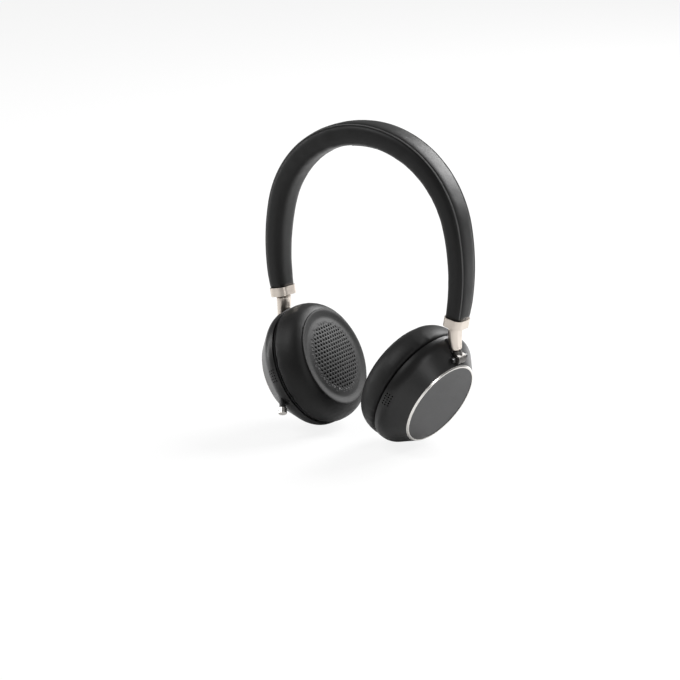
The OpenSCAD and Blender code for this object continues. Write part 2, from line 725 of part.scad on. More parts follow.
driver_frame(-1);  // right_driver_frame
diaphragm(1);  // left_diaphragm
diaphragm(-1);  // right_diaphragm
circuit_board(1);  // left_circuit_board
circuit_board(-1);  // right_circuit_board
noise_mic(1);  // left_noise_mic
noise_mic(-1);  // right_noise_mic
cup_screws(1);  // left_cup_screws
cup_screws(-1);  // right_cup_screws
battery();
usb_socket();
status_light();
boom_guide();
boom_arm();
boom_tip();
power_slide();
press_button(anc_phi, "#2c2c2e");  // anc_button
on_side(-1) press_button(volume_up_phi, "#2c2c2e");  // volume_up_button
on_side(-1) press_button(call_phi, "#2c2c2e");  // call_button
on_side(-1) press_button(volume_down_phi, "#2c2c2e");  // volume_down_button
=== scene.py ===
import bpy, bmesh, json, math
from mathutils import Matrix, Vector, noise


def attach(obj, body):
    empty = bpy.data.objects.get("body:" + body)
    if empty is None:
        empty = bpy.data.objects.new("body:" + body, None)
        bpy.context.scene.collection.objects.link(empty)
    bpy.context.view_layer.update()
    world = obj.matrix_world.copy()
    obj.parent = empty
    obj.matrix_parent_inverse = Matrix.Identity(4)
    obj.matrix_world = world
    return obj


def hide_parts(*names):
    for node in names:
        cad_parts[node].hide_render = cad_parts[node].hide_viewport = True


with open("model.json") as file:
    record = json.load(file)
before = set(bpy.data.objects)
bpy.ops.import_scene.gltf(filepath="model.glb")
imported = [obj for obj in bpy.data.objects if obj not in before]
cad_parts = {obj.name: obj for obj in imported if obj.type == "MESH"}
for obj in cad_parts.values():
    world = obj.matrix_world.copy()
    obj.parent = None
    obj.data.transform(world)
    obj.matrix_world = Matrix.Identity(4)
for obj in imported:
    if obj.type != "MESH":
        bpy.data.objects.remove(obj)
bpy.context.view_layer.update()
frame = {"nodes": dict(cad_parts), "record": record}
nodes = frame["nodes"]
scene = bpy.context.scene
MM = 0.001

# ---------------------------------------------------------------- camera, floor and light
VIEW_AZIMUTH, VIEW_ELEVATION = math.radians(35.83), math.radians(15.35)
LOOK_AT = Vector((-13.15, -9.49, -116.17)) * MM
DISTANCE = 1526.1 * MM
LENS, SENSOR_WIDTH = 137.65, 36
FLOOR_Z, FLOOR_REACH = -0.1735, 8


def studio_camera():
    to_camera = Vector((math.sin(VIEW_AZIMUTH) * math.cos(VIEW_ELEVATION),
                        -math.cos(VIEW_AZIMUTH) * math.cos(VIEW_ELEVATION), math.sin(VIEW_ELEVATION)))
    data = bpy.data.cameras.new("studio_camera")
    data.lens, data.sensor_width = LENS, SENSOR_WIDTH
    data.clip_start, data.clip_end = 0.05, 40
    camera = bpy.data.objects.new("studio_camera", data)
    camera.matrix_world = Matrix.Translation(LOOK_AT + to_camera * DISTANCE) @ \
        (-to_camera).to_track_quat("-Z", "Y").to_matrix().to_4x4()
    scene.collection.objects.link(camera)
    scene.camera = camera


def soft_lamp(name, place, target, size, watts):
    """A rectangular lamp at a place, turned to face the target; everything in metres."""
    data = bpy.data.lights.new(name, "AREA")
    data.shape, data.size, data.size_y, data.energy = "RECTANGLE", size[0], size[1], watts
    lamp = bpy.data.objects.new(name, data)
    place, target = Vector(place), Vector(target)
    facing = (target - place).to_track_quat("-Z", "Y")
    lamp.matrix_world = Matrix.Translation(place) @ facing.to_matrix().to_4x4()
    scene.collection.objects.link(lamp)


# ---------------------------------------------------------------- shader maths
class Num:
    """A number socket of a material, for use in plain expressions."""

    def __init__(self, shade, socket):
        self.shade, self.socket = shade, socket

    def _math(self, operation, *values):
        node = self.shade.add("ShaderNodeMath", {"operation": operation}, values)
        return Num(self.shade, node.outputs[0])

    def __add__(self, other):
        return self._math("ADD", self, other)

    def __radd__(self, other):
        return self._math("ADD", other, self)

    def __sub__(self, other):
        return self._math("SUBTRACT", self, other)

    def __rsub__(self, other):
        return self._math("SUBTRACT", other, self)

    def __mul__(self, other):
        return self._math("MULTIPLY", self, other)

    def __rmul__(self, other):
        return self._math("MULTIPLY", other, self)

    def over(self, edge):
        """1 where the number is above the edge, else 0."""
        return self._math("GREATER_THAN", self, edge)


class Shade:
    def __init__(self, name):
        self.material = bpy.data.materials.new(name)
        self.material.use_nodes = True
        self.tree = self.material.node_tree
        self.surface = self.tree.nodes["Principled BSDF"]

    def add(self, kind, settings=None, values=()):
        node = self.tree.nodes.new(kind)
        for key, value in (settings or {}).items():
            setattr(node, key, value)
        named = values.items() if isinstance(values, dict) else enumerate(values)
        for key, value in named:
            self.put(node.inputs[key], value)
        return node

    def put(self, socket, value):
        if isinstance(value, Num):
            value = value.socket
        if isinstance(value, bpy.types.NodeSocket):
            self.tree.links.new(value, socket)
        else:
            socket.default_value = value

    def place(self, scale=(1, 1, 1), turn=(0, 0, 0)):
        """Object coordinates in millimetres, turned and stretched."""
        coords = self.add("ShaderNodeTexCoord").outputs["Object"]
        stretch = tuple(s / MM for s in scale)
        mapping = self.add("ShaderNodeMapping", None, {"Vector": coords, "Rotation": turn, "Scale": stretch})
        return mapping.outputs[0]

    def noise(self, where, size, detail=2.0, rough=0.5):
        """Noise from 0 to 1 whose patches are about size millimetres across."""
        return Num(self, self.add("ShaderNodeTexNoise", None, {
            "Vector": where, "Scale": 1 / size, "Detail": detail, "Roughness": rough}).outputs["Fac"])

    def cells(self, where, size, feature="F1"):
        """Distance within cells that are about size millimetres across."""
        return Num(self, self.add("ShaderNodeTexVoronoi", {"feature": feature}, {
            "Vector": where, "Scale": 1 / size}).outputs["Distance"])

    def mix(self, factor, first, second):
        """A colour between two others."""
        node = self.add("ShaderNodeMix", {"data_type": "RGBA"})
        self.put(node.inputs[0], factor)
        for socket, colour in ((node.inputs[6], first), (node.inputs[7], second)):
            self.put(socket, (*colour, 1) if isinstance(colour, tuple) and len(colour) == 3 else colour)
        return node.outputs[2]

    def bump(self, height, depth_mm, strength=1.0):
        return self.add("ShaderNodeBump", None, {
            "Height": height, "Distance": depth_mm * MM, "Strength": strength}).outputs[0]

    def finish(self, **looks):
        for key, value in looks.items():
            if isinstance(value, tuple) and len(value) == 3 and "color" in key:
                value = (*value, 1)
            self.put(self.surface.inputs[key.replace("_", " ").title().replace("Ior", "IOR")], value)
        return self.material


def leatherette(name, dark, light, grain=0.75, depth=0.05, rough=0.46):
    """Soft black skin with pores and long creases; grain and depth in millimetres."""
    s = Shade(name)
    at = s.place()
    pores, fine, broad = s.cells(at, grain), s.noise(at, grain / 3, 3), s.noise(at, 14)
    creases = s.noise(s.place((1, 1, 0.35)), 2.6, 4, 0.6)
    return s.finish(
        base_color=s.mix(broad, dark, light), roughness=rough + (broad - 0.5) * 0.12 + pores * 0.08,
        specular_ior_level=0.2, sheen_weight=0.012, sheen_roughness=0.4,
        normal=s.bump(pores * 0.65 + fine * 0.2 + creases * 0.5, depth, 0.55))


def moulded(name, colour, rough=0.42, texture=0.28, depth=0.015):
    """Moulded plastic with a fine even grit."""
    s = Shade(name)
    at = s.place()
    grit, broad = s.noise(at, texture, 2), s.noise(at, 9)
    paler = tuple(min(1, c * 1.25 + 0.002) for c in colour)
    return s.finish(base_color=s.mix(broad, colour, paler), roughness=rough + (grit - 0.5) * 0.1,
                    specular_ior_level=0.32, normal=s.bump(grit, depth, 0.5))


def brushed(name, colour, rough=0.3, stretch=(1, 1, 0.03), turn=(0, 0, 0), line=0.16, depth=0.006):
    """Metal brushed along the direction that the stretch makes long."""
    s = Shade(name)
    lines, broad = s.noise(s.place(stretch, turn), line, 3, 0.6), s.noise(s.place(), 7)
    darker = tuple(c * 0.86 for c in colour)
    return s.finish(base_color=s.mix(lines * 0.6 + broad * 0.4, darker, colour), metallic=1.0,
                    roughness=rough + (lines - 0.5) * 0.14 + (broad - 0.5) * 0.06,
                    normal=s.bump(lines, depth, 0.5))


def polished(name, colour, rough=0.12):
    """Smooth bright metal with faint smears."""
    s = Shade(name)
    smear = s.noise(s.place(), 5, 3)
    return s.finish(base_color=s.mix(smear, tuple(c * 0.95 for c in colour), colour), metallic=1.0,
                    roughness=rough + smear * 0.06)


def foam(name, dark, light):
    """Open-cell foam."""
    s = Shade(name)
    at = s.place()
    pores = s.cells(at, 0.55)
    return s.finish(base_color=s.mix(pores, dark, light), roughness=0.95,
                    normal=s.bump(pores, 0.2, 0.8))


def circuit(name):
    """A board with tracks and small bright pads."""
    s = Shade(name)
    at = s.place()
    tracks = s.cells(at, 2.2, "DISTANCE_TO_EDGE").over(0.06)
    pads = s.cells(s.place((1, 1, 1), (0.3, 0.2, 0.1)), 3.4).over(0.16)
    green = s.mix(tracks, (0.035, 0.2, 0.085), (0.015, 0.11, 0.045))
    return s.finish(base_color=s.mix(pads, (0.7, 0.66, 0.55), green), roughness=0.3 + tracks * 0.15,
                    metallic=(1 - pads) * 0.9, normal=s.bump(tracks * -1.0, 0.03, 0.6))


def film(name):
    """The thin tinted film of a driver."""
    s = Shade(name)
    haze = s.noise(s.place(), 3)
    return s.finish(base_color=s.mix(haze, (0.5, 0.36, 0.17), (0.66, 0.52, 0.28)),
                    roughness=0.18 + haze * 0.1, coat_weight=0.3)


def frosted(name):
    """A frosted window with a faint glow."""
    s = Shade(name)
    haze = s.noise(s.place(), 0.6)
    return s.finish(base_color=s.mix(haze, (0.72, 0.76, 0.78), (0.85, 0.88, 0.9)),
                    roughness=0.35 + haze * 0.1, emission_color=(0.75, 0.9, 1.0), emission_strength=0.08)


# ---------------------------------------------------------------- sizes shared with the construction
CROWN_R, CROWN_A, SHOULDER_R, SHOULDER_A, SIDE_R, SIDE_A = 66, 28, 61, 77.5, 126, 101
BAND_W, BAND_T = (19.5, 14), (14, 11.2)
COLLAR_H, SLIDE_LEAN = 5.3, 3.5
TONGUE_W, TONGUE_T, TONGUE_L, SHOE_L = 7, 2.4, 38, 5
ARM_STRAIGHT, ARM_BEND_R, ARM_END_LEAN, KNUCKLE_H, BARREL_R, STEM_R = 3.3, 37.4, 14, 4.6, 3.3, 1.4
ARM_W, ARM_T, ARM_DROP, ARM_POWER = (10.4, 7.0), (6.8, 5.4), 0.8, 2.5
CUP_LEAN, CUP_TURN, CUP_H, RING_R = 25.9, 4.7, 17, 26.2
PIVOT_UP, PIVOT_REAR, PIVOT_OUT = RING_R + 2.8, 4.3, CUP_H - 4.1
CUSHION_R, CUSHION_T, HOLE_R = 37, 18.3, 24.4
RECESS_L, RECESS_W, RECESS_TOP = 16.7, 9.3, 0.96


def sin(a):
    return math.sin(math.radians(a))


def cos(a):
    return math.cos(math.radians(a))


def mixed(first, last, share):
    return first + (last - first) * share


def rounded(value, power):
    """A sine or cosine raised to a power that keeps its sign: below 1 it squares a section's corners."""
    return math.copysign(abs(value) ** power, value)


CENTRES = [Vector((0, BAND_T[0] / 2 - CROWN_R))]
CENTRES.append(CENTRES[0] + (CROWN_R - SHOULDER_R) * Vector((sin(CROWN_A), cos(CROWN_A))))
CENTRES.append(CENTRES[1] + (SHOULDER_R - SIDE_R) * Vector((sin(SHOULDER_A), cos(SHOULDER_A))))


def band_arc(a):
    """Centre, radius and distance run from the crown, at an angle from straight up."""
    run = math.radians(min(a, CROWN_A)) * CROWN_R
    if a <= CROWN_A:
        return CENTRES[0], CROWN_R, run
    run += math.radians(min(a, SHOULDER_A) - CROWN_A) * SHOULDER_R
    if a <= SHOULDER_A:
        return CENTRES[1], SHOULDER_R, run
    return CENTRES[2], SIDE_R, run + math.radians(a - SHOULDER_A) * SIDE_R


BAND_RUN = band_arc(SIDE_A)[2]


def band_point(a, out, y):
    """The part's metres, at an angle along the band, out from its middle line and across it."""
    side, b = (-1 if a < 0 else 1), abs(a)
    centre, radius, _ = band_arc(b)
    return Vector((side * (centre.x + (radius + out) * sin(b)), y, centre.y + (radius + out) * cos(b))) * MM


def band_size(a):
    """Breadth and thickness of the band at an angle."""
    share = (band_arc(abs(a))[2] / BAND_RUN) ** 2
    return mixed(*BAND_W, share), mixed(*BAND_T, share)


def flat_vector(point):
    """A point of the band's own plane, as a point of the part."""
    return Vector((point.x, 0, point.y))


collar_top = CENTRES[2] + SIDE_R * Vector((sin(SIDE_A), cos(SIDE_A)))
collar_end = collar_top + COLLAR_H * Vector((cos(SIDE_A), -sin(SIDE_A)))
slide_down = Vector((-sin(SLIDE_LEAN), -cos(SLIDE_LEAN)))
bend_start = collar_end + ARM_STRAIGHT * slide_down
bend_centre = bend_start + ARM_BEND_R * Vector((cos(SLIDE_LEAN), -sin(SLIDE_LEAN)))
bend_end = bend_centre - ARM_BEND_R * Vector((cos(ARM_END_LEAN), sin(ARM_END_LEAN)))
pivot = bend_end + KNUCKLE_H * Vector((sin(ARM_END_LEAN), -cos(ARM_END_LEAN)))


def cup_place(side):
    """Takes cup millimetres (x up the face, y to the front, z out from the seam) to the part's metres."""
    forward = Matrix.Rotation(math.radians(-CUP_TURN), 4, "Z")
    lean = Matrix.Rotation(math.radians(90 + CUP_LEAN), 4, "Y")
    turn = forward @ lean @ Matrix.Rotation(math.pi, 4, "Z")
    left = Matrix.Scale(MM, 4) @ Matrix.Translation(flat_vector(pivot)) @ turn \
        @ Matrix.Translation((-PIVOT_UP, PIVOT_REAR, -PIVOT_OUT))
    return left if side > 0 else Matrix.Diagonal((-1, 1, 1, 1)) @ left


SIDES = (("left", 1), ("right", -1))


# ---------------------------------------------------------------- making meshes
MERGE = 1e-6


def make_piece(name, points, faces, material, smooth=True):
    """A cleaned mesh object in one material, at the origin."""
    mesh = bpy.data.meshes.new(name)
    mesh.from_pydata([tuple(p) for p in points], [], faces)
    piece = bpy.data.objects.new(name, mesh)
    scene.collection.objects.link(piece)
    clean(piece)
    mesh.materials.append(material)
    mesh.polygons.foreach_set("use_smooth", [smooth] * len(mesh.polygons))
    return piece


def clean(piece):
    """Merges doubled points and turns every face outwards."""
    shape = bmesh.new()
    shape.from_mesh(piece.data)
    bmesh.ops.remove_doubles(shape, verts=shape.verts, dist=MERGE)
    bmesh.ops.recalc_face_normals(shape, faces=shape.faces)
    shape.to_mesh(piece.data)
    shape.free()


def swept(rings, closed=False, caps=True):
    """Points and faces of a skin through rings of equal count."""
    n, faces = len(rings[0]), []
    for k in range(len(rings) - (0 if closed else 1)):
        a, b = k * n, ((k + 1) % len(rings)) * n
        faces += [(a + i, a + (i + 1) % n, b + (i + 1) % n, b + i) for i in range(n)]
    if caps and not closed:
        faces += [tuple(range(n))[::-1], tuple(range((len(rings) - 1) * n, len(rings) * n))]
    return [p for ring in rings for p in ring], faces


def plain_mesh(piece):
    """Applies every modifier of a piece."""
    depsgraph = bpy.context.evaluated_depsgraph_get()
    mesh = bpy.data.meshes.new_from_object(piece.evaluated_get(depsgraph))
    piece.modifiers.clear()
    piece.data = mesh
    return piece


# ---------------------------------------------------------------- finishes
def plate_turn(mirror):
    """The turn that lays a plate's brushed lines aslant on its own face."""
    slant = Matrix.Rotation(math.radians(40), 3, "Z")
    axes = cup_place(1).to_3x3().normalized()
    return ((mirror @ axes @ mirror if mirror else axes) @ slant).inverted().to_euler()


def grey(value):
    """A neutral colour."""
    return value, value, value


def plate_metal(name, mirror=None):
    """The dark brushed metal of an outer plate."""
    return brushed(name, (0.062, 0.062, 0.063), 0.42, (1, 0.02, 1), plate_turn(mirror), 0.16, 0.014)


BAND_LEATHER = leatherette("band_leatherette", grey(0.0045), grey(0.009), 0.7, 0.045, 0.44)
# The piping is black like the band; its mid grey here is painted highlight, standing in for the bright line
# of light along the band's edge.
PIPING_PAINTED_HIGHLIGHT = leatherette(
    "piping_painted_highlight", (0.060, 0.060, 0.061), (0.085, 0.084, 0.083), 0.5, 0.03, 0.5)
CUSHION_LEATHER = leatherette("cushion_leatherette", grey(0.005), grey(0.010), 0.6, 0.04, 0.47)
CHAMPAGNE = brushed("champagne_metal", (0.56, 0.505, 0.45), 0.36)
MESH_BLACK = leatherette("perforated_leatherette", grey(0.005), grey(0.010), 0.6, 0.03, 0.5)
finishes = {
    "leatherette": BAND_LEATHER, "cushion_leather": CUSHION_LEATHER, "champagne_metal": CHAMPAGNE,
    "mesh_black": MESH_BLACK,
    "pad_foam": foam("open_foam", grey(0.004), grey(0.014)),
    "spring_steel": brushed("spring_steel", (0.55, 0.56, 0.58), 0.25),
    "rivet_steel": polished("rivet_steel", (0.62, 0.62, 0.64), 0.2),
    "cable_jacket": moulded("cable_jacket", (0.42, 0.045, 0.03), 0.5),
    "contact_gold": polished("contact_gold", (0.86, 0.62, 0.27), 0.16),
    "black_plastic": moulded("black_plastic", (0.022, 0.022, 0.023), 0.48, 0.35, 0.02),
    "acetal": moulded("acetal", (0.74, 0.72, 0.66), 0.4),
    "housing_black": moulded("housing_black", grey(0.005), 0.36, 0.22, 0.01),
    "bright_ring": polished("bright_ring", (0.6, 0.585, 0.56), 0.22),
    "plate_grey": plate_metal("plate_grey"),
    "driver_steel": brushed("driver_steel", (0.42, 0.42, 0.44), 0.32, (0.05, 1, 1)),
    "film": film("diaphragm_film"),
    "board_green": circuit("circuit_board_green"),
    "mic_metal": polished("mic_metal", (0.62, 0.62, 0.64), 0.22),
    "screw_steel": brushed("screw_steel", (0.36, 0.36, 0.37), 0.3, (1, 1, 0.2)),
    "battery_wrap": moulded("battery_wrap", (0.05, 0.16, 0.42), 0.28, 0.8, 0.01),
    "usb_steel": brushed("usb_steel", (0.56, 0.56, 0.58), 0.24),
    "light_guide": frosted("light_guide"),
    "button_black": moulded("button_black", (0.026, 0.026, 0.027), 0.34, 0.2, 0.008),
    "boom_black": moulded("boom_black", grey(0.018), 0.38, 0.25, 0.01),
    "tip_metal": brushed("tip_metal", (0.72, 0.69, 0.65), 0.2, (1, 1, 0.3)),
}
RIGHT_PLATE = plate_metal("plate_grey_right", Matrix.Diagonal((-1, 1, 1)))
KNUCKLE_METAL = brushed("knuckle_metal", (0.1, 0.095, 0.09), 0.42)
special = {"right_outer_plate": RIGHT_PLATE, "left_knuckle": KNUCKLE_METAL, "right_knuckle": KNUCKLE_METAL,
           "left_stem_clip": KNUCKLE_METAL, "right_stem_clip": KNUCKLE_METAL}
for subpart in frame["record"]["subparts"]:
    mesh = nodes[subpart["node"]].data
    look = special.get(subpart["node"]) or finishes[subpart["material_slot"]]
    mesh.materials.clear()
    mesh.materials.append(look)


# ---------------------------------------------------------------- headband skin and piping
SECTION_POWER, SECTION_SIDES, BAND_STEPS = 3.2, 56, 170
PIPING_V, PIPING_R = 42, 0.42
COLLAR_FADE_A = 97


def section_point(a, v, grow=0.0):
    """A point of the band's section, v degrees round from its outer side towards the rear."""
    w, t = band_size(a)
    power = 2 / SECTION_POWER
    return rounded(cos(v), power) * (t / 2 + grow), rounded(sin(v), power) * (w / 2 + grow)


def near_collar(a):
    """0 along the band, rising to 1 where its skin goes into a collar."""
    return max(0.0, (abs(a) - COLLAR_FADE_A) / (SIDE_A - COLLAR_FADE_A))


def skin_swell(a, v):
    """How far the padding stands off the plain section: a soft seam by the piping, and faint ripples."""
    seam = sum(-0.28 * math.exp(-((v - at) / 5.5) ** 2) for at in (PIPING_V, 360 - PIPING_V))
    inner = max(0.0, -cos(v))
    broad = noise.noise(Vector((a * 0.22, v * 0.016, 3.0))) * 0.12
    fine = noise.noise(Vector((a * 0.8, v * 0.03, 8.0))) * 0.05 * inner
    end = near_collar(a)
    return (seam - 0.08 + (broad + fine)) * (1 - end) - 0.15 * end


def band_skin():
    """The padded skin of the headband, with the recess for the charging plate under its crown."""
    rings = []
    for k in range(BAND_STEPS + 1):
        a = -SIDE_A + 2 * SIDE_A * k / BAND_STEPS
        turns = [360 * i / SECTION_SIDES for i in range(SECTION_SIDES)]
        rings.append([band_point(a, *section_point(a, v, skin_swell(a, v))) for v in turns])
    skin = make_piece("band_skin", *swept(rings), BAND_LEATHER)
    corners = [Vector((x, y, z)) * MM for x in (-RECESS_L / 2, RECESS_L / 2)
               for y in (-RECESS_W / 2, RECESS_W / 2) for z in (-5, RECESS_TOP)]
    sides = [(0, 1, 3, 2), (4, 6, 7, 5), (0, 4, 5, 1), (2, 3, 7, 6), (0, 2, 6, 4), (1, 5, 7, 3)]
    recess = make_piece("recess_cutter", corners, sides, BAND_LEATHER, smooth=False)
    cut = skin.modifiers.new("recess", "BOOLEAN")
    cut.operation, cut.solver, cut.object = "DIFFERENCE", "EXACT", recess
    plain_mesh(skin)
    bpy.data.objects.remove(recess)
    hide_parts("band_cover")
    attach(skin, "headband")


def band_piping(name, v):
    """A thin cord of leatherette sewn along the band, v degrees round its section; its pale grey is painted
    highlight, not the black of the cord.
    """
    rings = []
    for k in range(BAND_STEPS + 1):
        a = -SIDE_A + 0.4 + 2 * (SIDE_A - 0.4) * k / BAND_STEPS
        out, y = section_point(a, v, -0.1 - 0.25 * near_collar(a))
        rings.append([band_point(a, out + PIPING_R * cos(q), y + PIPING_R * sin(q))
                      for q in range(0, 360, 45)])
    piping = make_piece(name, *swept(rings), PIPING_PAINTED_HIGHLIGHT)
    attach(piping, "headband")


# ---------------------------------------------------------------- arms
ARM_SIDES, ARM_STEPS, ARM_TIP_SHARE = 32, 30, 0.1


def arm_point(side, centre, across, out, y):
    """The part's metres, out from a centre of the arm and across it."""
    p = centre + across * out
    return Vector((side * p.x, y, p.y)) * MM


def arm_section(w, t, v):
    """A rounded section with a soft valley down its outer face."""
    c, s = cos(v), sin(v)
    valley = 0.42 * math.exp(-((s - 0.1) / 0.24) ** 2) if c > 0 else 0
    return rounded(c, 0.86) * t / 2 - valley, rounded(s, 0.84) * w / 2


def arm_ring(side, centre, across, w, t):
    """One section of the arm, set about a centre."""
    turns = [360 * i / ARM_SIDES for i in range(ARM_SIDES)]
    return [arm_point(side, centre, across, *arm_section(w, t, v)) for v in turns]


def shaped_arm(name, side):
    """The tongue, the bent arm that narrows to a round end, and the stem for the knuckle."""
    points, faces = [], []

    def part(rings):
        more, sides = swept(rings)
        faces.extend(tuple(i + len(points) for i in face) for face in sides)
        points.extend(more)

    across = Vector((-slide_down.y, slide_down.x))
    tongue = []
    shoe_end = TONGUE_L - SHOE_L
    for z, thick, broad in ((TONGUE_L, 0.55, 0.85), (shoe_end, 0.55, 0.85), (shoe_end, 0.94, 1),
                            (shoe_end - 0.4, 1, 1), (-1.2, 1, 1)):
        centre = collar_end - slide_down * z
        tongue.append([arm_point(side, centre, across, rounded(cos(15 * i), 0.6) * TONGUE_T / 2 * thick,
                                 rounded(sin(15 * i), 0.6) * TONGUE_W / 2 * broad) for i in range(24)])
    part(tongue)
    arm = []
    bend_run = ARM_BEND_R * math.radians(ARM_END_LEAN + SLIDE_LEAN)
    whole_run = ARM_STRAIGHT - ARM_DROP + bend_run

    def arm_size(share, round_off=1.0):
        """Breadth and thickness at a share of the way down the arm."""
        return mixed(*ARM_W, share ** ARM_POWER) * round_off, mixed(*ARM_T, share) * round_off

    for down, scale in ((0.0, 0.88), (0.06, 0.95), (0.25, 0.99), (0.6, 1), (1.5, 1)):
        centre = collar_end + slide_down * (ARM_DROP + down)
        arm.append(arm_ring(side, centre, across, *arm_size(down / whole_run, scale)))
    for k in range(ARM_STEPS + 1):
        s = k / ARM_STEPS
        turn = -SLIDE_LEAN + (ARM_END_LEAN + SLIDE_LEAN) * s
        direction = Vector((cos(turn), sin(turn)))
        centre = bend_centre - ARM_BEND_R * direction
        tip = max(0.0, (s - (1 - ARM_TIP_SHARE)) / ARM_TIP_SHARE)
        round_off = 0.62 + 0.38 * math.sqrt(max(0.0, 1 - tip ** 2))
        share = 1 - bend_run * (1 - s) / whole_run
        arm.append(arm_ring(side, centre, direction, *arm_size(share, round_off)))
    part(arm)
    along = Vector((sin(ARM_END_LEAN), -cos(ARM_END_LEAN)))
    out = Vector((cos(ARM_END_LEAN), sin(ARM_END_LEAN)))
    part([[arm_point(side, pivot - along * z, out, STEM_R * cos(q), STEM_R * sin(q))
           for q in range(0, 360, 18)]
          for z in (KNUCKLE_H + 1, KNUCKLE_H, 0, -BARREL_R + 1.3)])
    piece = make_piece(name, points, faces, CHAMPAGNE)
    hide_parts(name.replace("shaped_", ""))
    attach(piece, "left_slider" if side > 0 else "right_slider")


# ---------------------------------------------------------------- ear cushions
CUSHION_SWELL, CUSHION_CLEAR = 0.45 * MM, 0.64
CLOTH_FRAMES = 20


def cushion_profile():
    """Radius and height round the cushion's section, from the outer edge of its base over the crown."""
    base, crown = -0.68, -(CUSHION_T - 0.35)
    outer_r, shoulder, roll = CUSHION_R - 0.3, 5.0, 9.0
    outer = [(CUSHION_R - 0.75, base), (CUSHION_R - 0.4, base - 0.3), (outer_r, base - 2.0)]
    dome = [(outer_r - roll * (1 - cos(q)), -shoulder - (abs(crown) - shoulder) * sin(q))
            for q in range(6, 91, 12)]
    valley = [(HOLE_R + 2.5, crown + 0.5), (HOLE_R + 1.4, crown + 1.2), (HOLE_R + 0.3, crown + 2.2),
              (HOLE_R - 0.1, crown + 4.0)]
    inner = [(HOLE_R - 0.1, h) for h in (-12, -9, -6, -3)] + [(HOLE_R + 0.3, base)]
    return outer + dome + valley + inner


def inflated(piece, cap):
    """Swells a closed skin as a stuffed cushion does; no point moves further than cap, in metres."""
    remesh = piece.modifiers.new("even", "REMESH")
    remesh.mode, remesh.voxel_size = "VOXEL", 0.0022
    plain_mesh(piece)
    rest = [v.co.copy() for v in piece.data.vertices]
    cloth = piece.modifiers.new("cloth", "CLOTH")
    settings = cloth.settings
    settings.quality, settings.mass = 6, 0.15
    settings.tension_stiffness = settings.compression_stiffness = settings.shear_stiffness = 18
    settings.use_pressure, settings.uniform_pressure_force = True, 4
    settings.effector_weights.gravity = 0
    cloth.point_cache.frame_start, cloth.point_cache.frame_end = 1, CLOTH_FRAMES
    for step in range(1, CLOTH_FRAMES + 1):
        scene.frame_set(step)
    plain_mesh(piece)
    scene.frame_set(1)
    for vertex, start in zip(piece.data.vertices, rest):
        moved = vertex.co - start
        if moved.length > cap:
            vertex.co = start + moved * (cap / moved.length)


def creased(p):
    """A point of the cushion, in cup millimetres, with faint creases at its hole and its base."""
    r, angle = math.hypot(p.x, p.y), math.atan2(p.y, p.x)
    crease = noise.noise(Vector((math.cos(angle) * 6, math.sin(angle) * 6, p.z * 0.12)))
    inner = math.exp(-((r - 25) / 2.2) ** 2)
    outer = math.exp(-((p.z + 3) / 3.0) ** 2)
    p += p.normalized() * (crease * (0.22 * inner + 0.10 * outer))
    p.z = min(p.z, -CUSHION_CLEAR)
    r = math.hypot(p.x, p.y)
    if r > CUSHION_R:
        p.x, p.y = p.x * CUSHION_R / r, p.y * CUSHION_R / r
    return p


def cushion(name, side, source=None):
    """A stuffed ring on one cup. The first is worked out, and its bare mesh makes the other."""
    place = cup_place(side)
    if source is None:
        profile = cushion_profile()
        rings = [[Vector((r * cos(q), r * sin(q), h)) * MM for r, h in profile] for q in range(0, 360, 3)]
        piece = make_piece(name, *swept(rings, closed=True), CUSHION_LEATHER)
        inflated(piece, CUSHION_SWELL)
        for vertex in piece.data.vertices:
            vertex.co = creased(vertex.co / MM) * MM
        smooth = piece.modifiers.new("settle", "SMOOTH")
        smooth.factor, smooth.iterations = 0.5, 3
        rounder = piece.modifiers.new("round", "SUBSURF")
        rounder.levels = rounder.render_levels = 2
        plain_mesh(piece)
        bare = piece.data.copy()
    else:
        bare = source
        piece = make_piece(name, [], [], CUSHION_LEATHER)
    piece.data = bare.copy()
    piece.data.transform(Matrix(place) @ Matrix.Scale(1 / MM, 4))
    clean(piece)
    piece.data.materials.clear()
    piece.data.materials.append(CUSHION_LEATHER)
    piece.data.polygons.foreach_set("use_smooth", [True] * len(piece.data.polygons))
    body = "left_cup" if side > 0 else "right_cup"
    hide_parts(name.replace("soft_", ""))
    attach(piece, body)
    return bare


# ---------------------------------------------------------------- perforated mesh
HOLE_PITCH, PERFORATION_R, MESH_WALL = 2.65, 0.66, 0.35
DOME_BASE, DOME_RISE, PERFORATED_R = 17.2, 2.8, 21.2
GRID_COUNT = 27
CELL_SIDES = 12


def mesh_cell():
    """One six-sided piece of the mesh with its hole."""
    corner_r = HOLE_PITCH / math.sqrt(3)
    edge = [corner_r if i % 2 == 0 else corner_r * cos(30) for i in range(CELL_SIDES)]
    loops = [(edge, 0)] + [([r] * CELL_SIDES, z) for r, z in
                           ((PERFORATION_R + 0.12, 0), (PERFORATION_R, -0.1), (PERFORATION_R, -MESH_WALL))]
    rings = [[Vector((r * cos(30 * i + 30), r * sin(30 * i + 30), z)) * MM for i, r in enumerate(radii)]
             for radii, z in loops]
    return make_piece("mesh_cell", *swept(rings, caps=False), MESH_BLACK)


